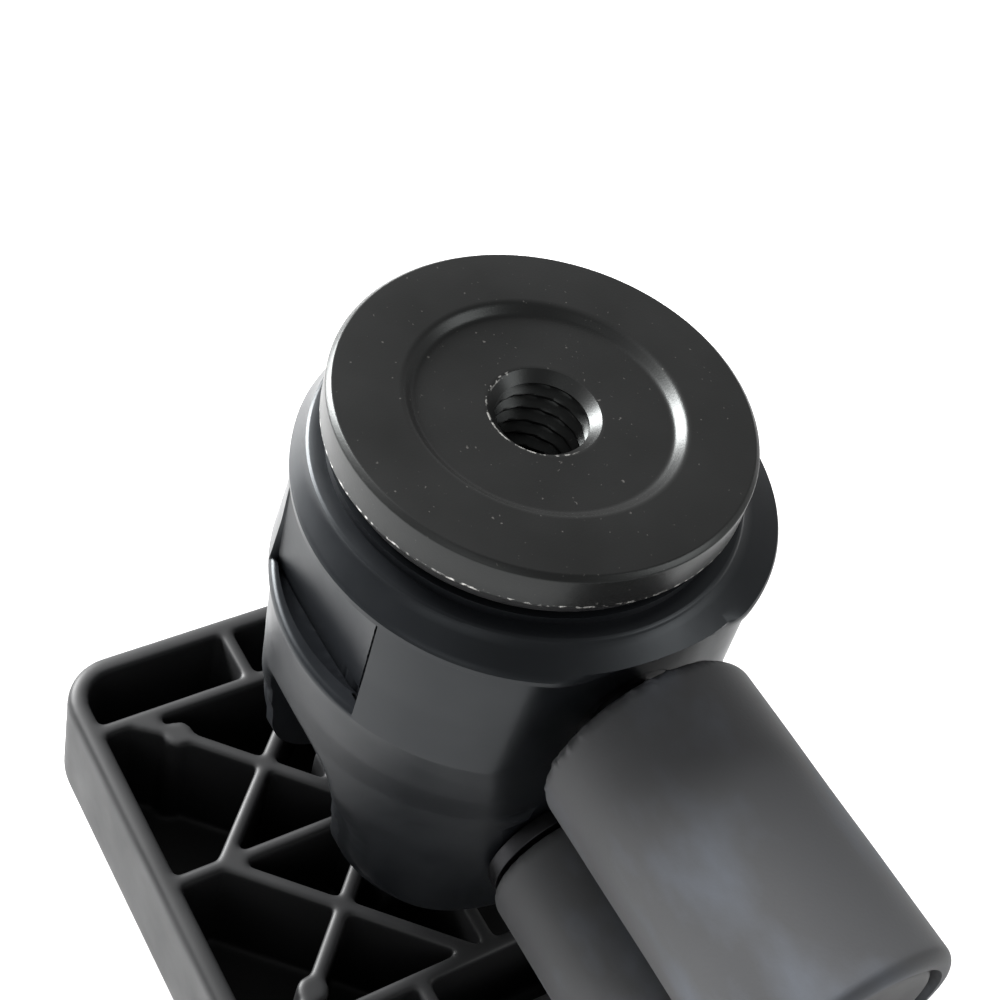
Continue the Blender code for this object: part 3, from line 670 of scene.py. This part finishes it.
def platform():
    levels = [(0.9, RIM), (0.45, RIM - 0.12), (0.12, RIM - 0.45), (0.0, RIM - 1.0)]
    for i in range(13):
        angle = math.radians(90 * i / 12)
        levels.append((ROUND * (1 - math.cos(angle)), FOOT + ROUND * (1 - math.sin(angle))))
    verts, faces = [], []
    for inset, z in levels:
        outline = rounded_outline(HALF_X - inset, HALF_Y - inset, max(CORNER - inset, 0.4))
        verts += [(x, y, z) for x, y in outline]
    count = len(verts) // len(levels)
    for k in range(len(levels) - 1):
        for i in range(count):
            j = (i + 1) % count
            faces.append((k * count + i, (k + 1) * count + i, (k + 1) * count + j, k * count + j))
    faces += [tuple(range(count)), tuple(reversed(range((len(levels) - 1) * count, len(levels) * count)))]
    made = mesh_piece("platform_frame_fine", verts, faces)
    steps = [('DIFFERENCE', prism(rounded_outline(HALF_X - 2.2, HALF_Y - 2.2, 3.5), WEB, RIM + 5, flat))]
    for side in (-1, 1):
        line = 19.0 * side
        steps.append(('UNION', slanted((line, -HALF_Y + 1.2), (line, HALF_Y - 1.2), RIB)))
        for y in (-10.6, 10.6):
            steps.append(('UNION', slanted((line, y), (side * (HALF_X - 1.2), y), RIB)))
        steps.append(('UNION', slanted((side * -0.5, -23.2), (line, -3.7), RIB)))
        steps.append(('UNION', slanted((side * -0.5, -4.4), (line, -23.9), RIB)))
        steps.append(('UNION', slanted((side * 15.7, -20.6), (side * 18.6, -24.4), 1.3)))
        post = lathe("cutter", [(0, RIM), (1.6, RIM), (1.6, WEB - 1), (0, WEB - 1)], 32)
        post.data.transform(Matrix.Translation((side * 15.7 * MM, -20.6 * MM, 0)))
        steps.append(('UNION', post))
    steps.append(('UNION', slanted((0, -HALF_Y + 1.2), (0, -2.2), RIB)))
    steps.append(('UNION', slanted((-19, -2.2), (19, -2.2), RIB)))
    steps.append(('UNION', cutter_box((-8.2, -8.6, WEB - 1), (8.2, 8.6, RIM))))
    boss = lathe("cutter", [(0, 4.0), (7.0, 4.0), (7.0, WEB - 1), (0, WEB - 1)], 64)
    boss.data.transform(Matrix.Translation((0, SCREW_Y * MM, 0)))
    steps.append(('UNION', boss))
    steps.append(('DIFFERENCE', cutter_box((-5.9, -7.3, 4.0), (5.9, 7.3, RIM + 5))))
    screw = [(0, 20), (8.8, 20), (8.8, 3.0), (3.45, 3.0), (3.45, -12.8), (0, -12.8)]
    hole = lathe("cutter", screw, 64)
    hole.data.transform(Matrix.Translation((0, SCREW_Y * MM, 0)))
    steps.append(('DIFFERENCE', hole))
    pad = prism(rounded_outline(HALF_X - 6.2, HALF_Y - 6.2, 2.0), FOOT - 5, -6.7, flat)
    steps.append(('DIFFERENCE', pad))
    combine(made, *steps)
    remesh = made.modifiers.new("remesh", 'REMESH')
    remesh.mode = 'VOXEL'
    remesh.voxel_size = 0.27 * MM
    relax = made.modifiers.new("relax", 'SMOOTH')
    relax.factor = 0.5
    relax.iterations = 12
    apply_all(made)
    return made


plate = platform()
plate.data.shade_smooth()
stand_for(plate, "platform_frame")


# ------------------------------------------------------------------ knobs

def flash_shift(radius, x0, amount):
    """Torn moulding flash in patches on the sleeve's near edge, over its front and top."""
    def shift(r, angle, along, index):
        near = clamp(1 - abs(along - x0 - 0.75) / 0.75) * (1.0 if r > radius - 1.2 else 0.0)
        side = smoothstep(math.sin(angle) * 0.6 - math.cos(angle) * 0.6, 0.15, 0.7)
        ragged = noise.noise(Vector((math.cos(angle) * 9, math.sin(angle) * 9, 3.1)))
        fine = noise.noise(Vector((math.cos(angle) * 20, math.sin(angle) * 20, along * 1.6)))
        dent = 0.05 * noise.noise(Vector((math.cos(angle) * 1.6, math.sin(angle) * 1.6, along * 0.12)))
        lift = near * side * max(0.0, 0.10 + ragged) * (0.35 + 2.0 * abs(fine))
        return (amount * lift + dent, -amount * 0.8 * lift)
    return shift


def knob(prefix, place, radius, start, length, cap_slot, amount):
    end, core = start + length, radius - 1.8
    body_rows = [(radius, end - 1.6 - (length - 4.6) * i / 24) for i in range(25)]
    edge = [(radius - 1.6 * (1 - math.cos(math.radians(a))), start + 1.6 * (1 - math.sin(math.radians(a))))
            for a in range(0, 91, 6)]
    near = [(radius, start + 3.0), (radius, start + 2.3), *edge]
    far = [(radius - 1.2 * (1 - math.cos(math.radians(a))), end - 1.2 * (1 - math.sin(math.radians(a))))
           for a in range(90, -1, -9)]
    profile = [(core + 0.3, end), *far, *body_rows, *near, (core + 0.3, start)]
    grip = lathe(prefix + "_grip_fine", profile, 360, place, flash_shift(radius, start, amount))
    shade(grip, 40)
    stand_for(grip, prefix + "_grip")
    dish = [(0, end - 0.55), (core * 0.62, end - 0.5), (core - 0.7, end - 0.3), (core, end - 0.9),
            (core, end - 1.8), (0, end - 1.8)]
    cap = lathe(prefix + "_cap_fine", rounded(dish, [0, 0.8, 0.5, 0.2, 0.1, 0]), 96, place)
    shade(cap, 35)
    stand_for(cap, prefix + "_cap")


knob("pan_knob", along_x(LOCK_Y, LOCK_Z), 10.0, 21.1, 30.0, "moulded_black", 0.50)
knob("tilt_knob", along_x(0.0, TILT_Z), 7.6, 20.3, 21.0, "moulded_black", 0.12)


# ------------------------------------------------------------------ small turned pieces

def hex_socket(made, radius, low, high, place):
    """Cuts a hexagon socket, and clears the slivers that the cut leaves on the end face."""
    profile = [(0, high), (radius, high), (radius, low), (0, low)]
    combine(made, ('DIFFERENCE', lathe("cutter", profile, 6, place)))
    shape = bmesh.new()
    shape.from_mesh(made.data)
    bmesh.ops.dissolve_degenerate(shape, dist=0.000001, edges=shape.edges)
    shape.to_mesh(made.data)
    shape.free()


TILT_AXIS = along_x(0.0, TILT_Z)
shank = [(0, 33.0), (3.0, 33.0), (3.0, -15.0), (5.2, -15.0), (5.2, -18.6), (0, -18.6)]
bolt = lathe("tilt_bolt_fine", rounded(shank, [0, 0.4, 0.1, 0.2, 0.5, 0]), 96, TILT_AXIS)
hex_socket(bolt, 2.9, -20.0, -16.6, TILT_AXIS)
shade(bolt)
stand_for(bolt, "tilt_bolt")


def edges(node, axis):
    """Radius and both ends of a turned node along an axis, in mm and in the datum along z."""
    low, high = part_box(node)
    other = (axis + 1) % 3
    shift = LIFT if axis == 2 else 0.0
    return (high[other] - low[other]) / 2 / MM, low[axis] / MM - shift, high[axis] / MM - shift


def fine_ring(node, inner, axis, place):
    radius, low, high = edges(node, axis)
    profile = rounded([(inner, high), (radius, high), (radius, low), (inner, low)], 0.15)
    made = lathe(node + "_fine", profile, 96, place)
    shade(made)
    stand_for(made, node)


fine_ring("tilt_thrust_washer", 3.3, 0, TILT_AXIS)
fine_ring("pan_lock_bush", 3.3, 0, along_x(LOCK_Y, LOCK_Z))
fine_ring("tilt_friction_disc_near", 3.3, 0, TILT_AXIS)
fine_ring("tilt_friction_disc_far", 3.3, 0, TILT_AXIS)
stud_radius, stud_low, stud_high = edges("pan_lock_stud", 0)
stud = lathe("pan_lock_stud_fine", rounded([(0, stud_high), (stud_radius, stud_high), (stud_radius, stud_low),
                                            (0, stud_low)], [0, 0.4, 0.4, 0]), 96, along_x(LOCK_Y, LOCK_Z))
shade(stud)
stand_for(stud, "pan_lock_stud")


def tongue():
    low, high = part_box("tilt_tongue")
    foot, bottom, wide = high.y / MM, low.z / MM - LIFT, high.x / MM
    outline = [(-foot, bottom), (foot, bottom), (foot, 9.0), *arc(0, TILT_Z, 5.4, -5, 185, 40), (-foot, 9.0)]
    made = prism(outline, -wide, wide, lambda u, v, w: (w, u, v))
    bevel = made.modifiers.new("bevel", 'BEVEL')
    bevel.width = 0.6 * MM
    bevel.segments = 3
    bevel.angle_limit = math.radians(60)
    apply_all(made)
    combine(made, ('DIFFERENCE', lathe("cutter", [(0, 10), (3.3, 10), (3.3, -10), (0, -10)], 64, TILT_AXIS)))
    made.name = "tilt_tongue_fine"
    return made


leg = tongue()
shade(leg)
stand_for(leg, "tilt_tongue")


def knurl(r, angle, z, index):
    if r < 7.6:
        return (0.0, 0.0)
    return (-0.22 * (0.5 + 0.5 * math.cos(angle * 48)) * clamp((r - 7.6) / 0.3), 0.0)


rim = [(2.5, 9.8), (6.6, 9.8), (6.8, 9.65), (8.0, 9.65), (8.0, 8.15), (7.6, 8.0), (2.5, 8.0)]
wheel = lathe("camera_screw_wheel_fine", rounded(rim, 0.1), 384, z_up, knurl)


def screw_thread(r, angle, z, index):
    """Thread of the camera screw, 20 turns to the inch."""
    tooth = clamp((1 - abs(2 * ((z / 1.27 - angle / (2 * math.pi)) % 1) - 1)) * 1.3 - 0.1)
    return (-0.42 * tooth * (1.0 if 3.0 < r < 3.2 and -7.6 < z < 6.4 else 0.0), 0.0)


stem = [(0, 9.5), (2.0, 9.5), (2.2, 9.3), (2.2, 7.7), (3.1, 7.7),
        *[(3.1, 7.6 - 0.09 * i) for i in range(168)], (2.6, -8.1), (0, -8.1)]
screw = lathe("camera_screw_fine", stem, 96, z_up, screw_thread)
washer = lathe("camera_screw_washer_fine",
               rounded([(3.4, 7.7), (6.0, 7.7), (6.0, 7.3), (3.4, 7.3)], 0.08), 64)
for made, node in ((wheel, "camera_screw_wheel"), (screw, "camera_screw"), (washer, "camera_screw_washer")):
    made.data.transform(Matrix.Translation((0, SCREW_Y * MM, 0)))
    shade(made, 30)
    stand_for(made, node)


def camera_pad():
    """Rubber pad with shallow grooves on the camera side."""
    made = prism(rounded_outline(HALF_X - 6.5, HALF_Y - 6.5, 2.0, 12), -8.3, -7.0, flat)
    steps = [('DIFFERENCE', cutter_box((-19.0, y - 0.35, -9.0), (19.0, y + 0.35, -8.0)))
             for y in [-21.0 + 2.0 * i for i in range(22)] if abs(y - SCREW_Y) > 5.6]
    hole = lathe("cutter", [(0, 0), (4.0, 0), (4.0, -12), (0, -12)], 64)
    hole.data.transform(Matrix.Translation((0, SCREW_Y * MM, 0)))
    combine(made, ('DIFFERENCE', hole), *steps)
    made.name = "camera_pad_fine"
    return made


pad = camera_pad()
shade(pad)
stand_for(pad, "camera_pad")

for name, made in frame["nodes"].items():
    made.data.materials.clear()
    made.data.materials.append(BY_SLOT[SLOT_OF[name]])


# ------------------------------------------------------------------ floor, light, camera

def stage_floor():
    mesh = bpy.data.meshes.new("floor")
    corners = [(x * 0.9, y * 0.9, 0) for x, y in ((-1, -1), (1, -1), (1, 1), (-1, 1))]
    mesh.from_pydata(corners, [], [(0, 1, 2, 3)])
    made = bpy.data.objects.new("floor", mesh)
    bpy.context.scene.collection.objects.link(made)
    n = Nodes("pale_floor", (0.90, 0.90, 0.90), 0.75, 0.0, 0.2)
    n.link(n.mix_color(n.noise(3.0, 1.0), (0.89, 0.89, 0.89), (0.91, 0.91, 0.91)),
           n.shader.inputs["Base Color"])
    mesh.materials.append(n.material)


def area_light(name, place, aim, size, power, color=(1, 1, 1)):
    light = bpy.data.lights.new(name, 'AREA')
    light.shape = 'RECTANGLE'
    light.size, light.size_y = size
    light.energy = power
    light.color = color
    made = bpy.data.objects.new(name, light)
    bpy.context.scene.collection.objects.link(made)
    made.location = place
    made.rotation_euler = (Vector(aim) - Vector(place)).to_track_quat('-Z', 'Y').to_euler()


stage_floor()


def studio_world(low, high, seen):
    """A white room that is bright at the horizon and darker overhead, pale where it is looked at."""
    world = bpy.data.worlds.new("studio")
    world.use_nodes = True
    tree = world.node_tree
    coordinates = tree.nodes.new("ShaderNodeTexCoord")
    split = tree.nodes.new("ShaderNodeSeparateXYZ")
    spread = tree.nodes.new("ShaderNodeMapRange")
    for key, number in (("From Min", 0.0), ("From Max", 0.75), ("To Min", low), ("To Max", high)):
        spread.inputs[key].default_value = number
    tree.links.new(coordinates.outputs["Generated"], split.inputs[0])
    tree.links.new(split.outputs["Z"], spread.inputs["Value"])
    room = tree.nodes["Background"]
    room.inputs["Color"].default_value = (1.0, 1.0, 1.0, 1.0)
    tree.links.new(spread.outputs["Result"], room.inputs["Strength"])
    backdrop = tree.nodes.new("ShaderNodeBackground")
    backdrop.inputs["Color"].default_value = (1.0, 1.0, 1.0, 1.0)
    backdrop.inputs["Strength"].default_value = seen
    path = tree.nodes.new("ShaderNodeLightPath")
    choose = tree.nodes.new("ShaderNodeMixShader")
    tree.links.new(path.outputs["Is Camera Ray"], choose.inputs[0])
    tree.links.new(room.outputs[0], choose.inputs[1])
    tree.links.new(backdrop.outputs[0], choose.inputs[2])
    tree.links.new(choose.outputs[0], tree.nodes["World Output"].inputs["Surface"])
    bpy.context.scene.world = world


studio_world(0.55, 0.30, 0.95)
bpy.context.scene.view_settings.view_transform = 'Standard'
MIDDLE = (0.0, 0.0, 0.05)
area_light("left_softbox", (-0.62, -0.24, 0.25), MIDDLE, (0.34, 0.20), 4.8)
area_light("left_floor_light", (-0.60, -0.17, 0.36), (-0.12, 0.0, 0.0), (0.3, 0.3), 16.0)
area_light("right_back_softbox", (0.62, 0.66, 0.62), (0.05, 0.10, 0.0), (0.5, 0.5), 3.5)
area_light("front_fill", (0.50, -0.75, 0.62), MIDDLE, (0.6, 0.6), 1.5)

camera_data = bpy.data.cameras.new("camera")
camera_data.sensor_width = 36.0
camera_data.lens = 66.24
camera = bpy.data.objects.new("camera", camera_data)
bpy.context.scene.collection.objects.link(camera)
camera.matrix_world = Matrix.Translation((0.07712, -0.07541, 0.17375 + LIFT * MM)) @ Matrix((
    (0.495726, -0.717864, 0.488801), (0.843795, 0.264876, -0.466745), (0.205588, 0.643826, 0.737036),
)).to_4x4()
bpy.context.scene.camera = camera

bpy.context.view_layer.update()
